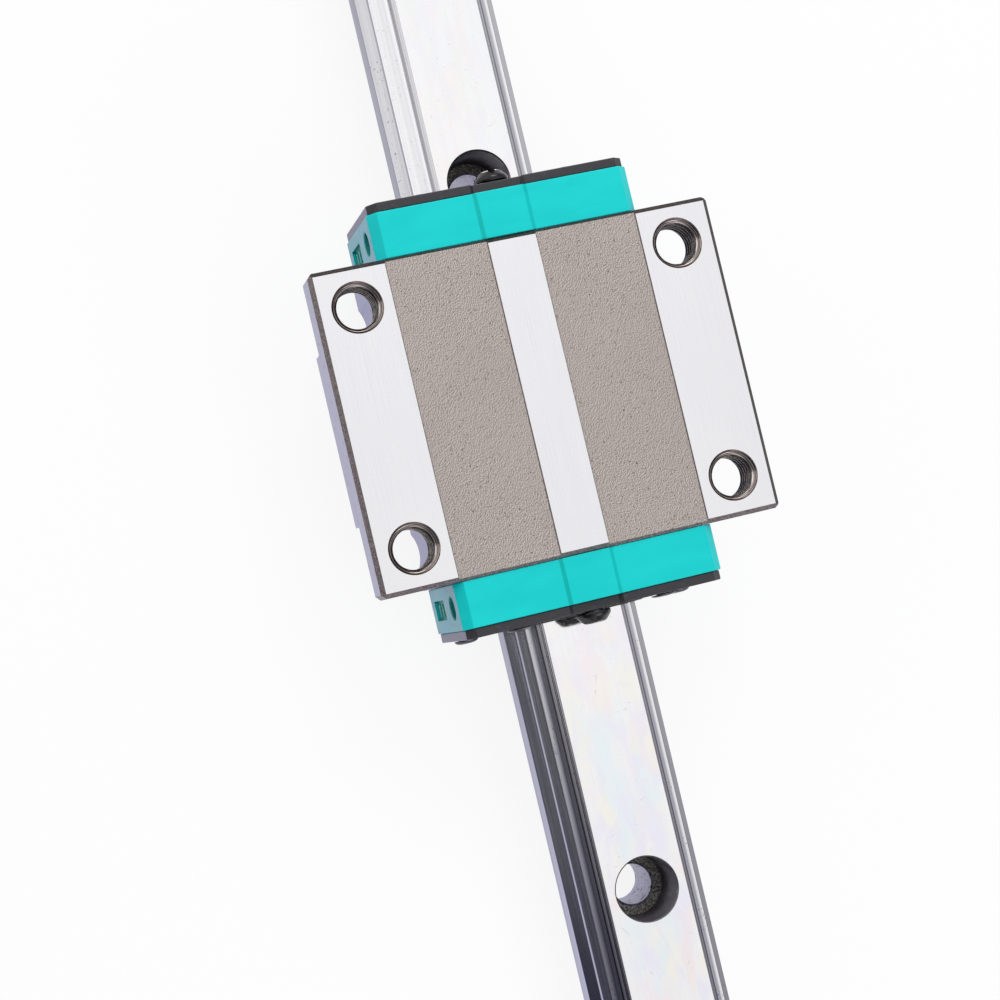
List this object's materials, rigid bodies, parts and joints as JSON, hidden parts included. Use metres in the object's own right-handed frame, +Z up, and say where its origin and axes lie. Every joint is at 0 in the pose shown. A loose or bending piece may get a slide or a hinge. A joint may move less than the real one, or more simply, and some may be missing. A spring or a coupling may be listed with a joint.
{
  "type": "profiled rail linear guide",
  "caption": "Profiled steel rail with counterbored holes and a flanged ball carriage with tapped holes that slides along it.",
  "frame": {"origin": "middle of the rail's underside", "axes": "+X across the rail, +Y along it, +Z up out of the carriage's top face"},
  "size_m": [0.09, 0.36, 0.042],
  "materials": {
    "rail_steel": "ground, bright, fine scratches along the rail",
    "block_steel": "ground satin pads, blasted strips and dark brown chamfers",
    "cap_plastic": "moulded, semi-gloss teal",
    "seal_rubber": "black, satin",
    "plug_plastic": "black, glossy",
    "screw_steel": "blackened",
    "guide_plastic": "black, moulded",
    "ball_steel": "polished bearing steel"
  },
  "bodies": {
    "rail": {"rail": "rail_steel"},
    "carriage": {"carriage_block": "block_steel", "end_cap_front": "cap_plastic", "end_cap_rear": "cap_plastic", "end_seal_front": "seal_rubber", "end_seal_rear": "seal_rubber", "grease_plug_front": "plug_plastic", "grease_plug_rear": "plug_plastic", "cap_screw_front_upper_left": "screw_steel", "cap_screw_front_upper_right": "screw_steel", "cap_screw_front_lower_left": "screw_steel", "cap_screw_front_lower_right": "screw_steel", "cap_screw_rear_upper_left": "screw_steel", "cap_screw_rear_upper_right": "screw_steel", "cap_screw_rear_lower_left": "screw_steel", "cap_screw_rear_lower_right": "screw_steel", "return_guide_front_left": "guide_plastic", "return_guide_front_right": "guide_plastic", "return_guide_rear_left": "guide_plastic", "return_guide_rear_right": "guide_plastic", "ball_circuit_upper_left": "ball_steel", "ball_circuit_upper_right": "ball_steel", "ball_circuit_lower_left": "ball_steel", "ball_circuit_lower_right": "ball_steel", "side_retainer_left": "guide_plastic", "side_retainer_right": "guide_plastic", "top_retainer": "guide_plastic", "bottom_seal_left": "seal_rubber", "bottom_seal_right": "seal_rubber"}
  },
  "joints": [
    {"name": "carriage_slide", "type": "slide", "parent": "rail", "child": "carriage", "axis": [0, 1, 0], "range_m": [-0.159, 0.1]}
  ]
}
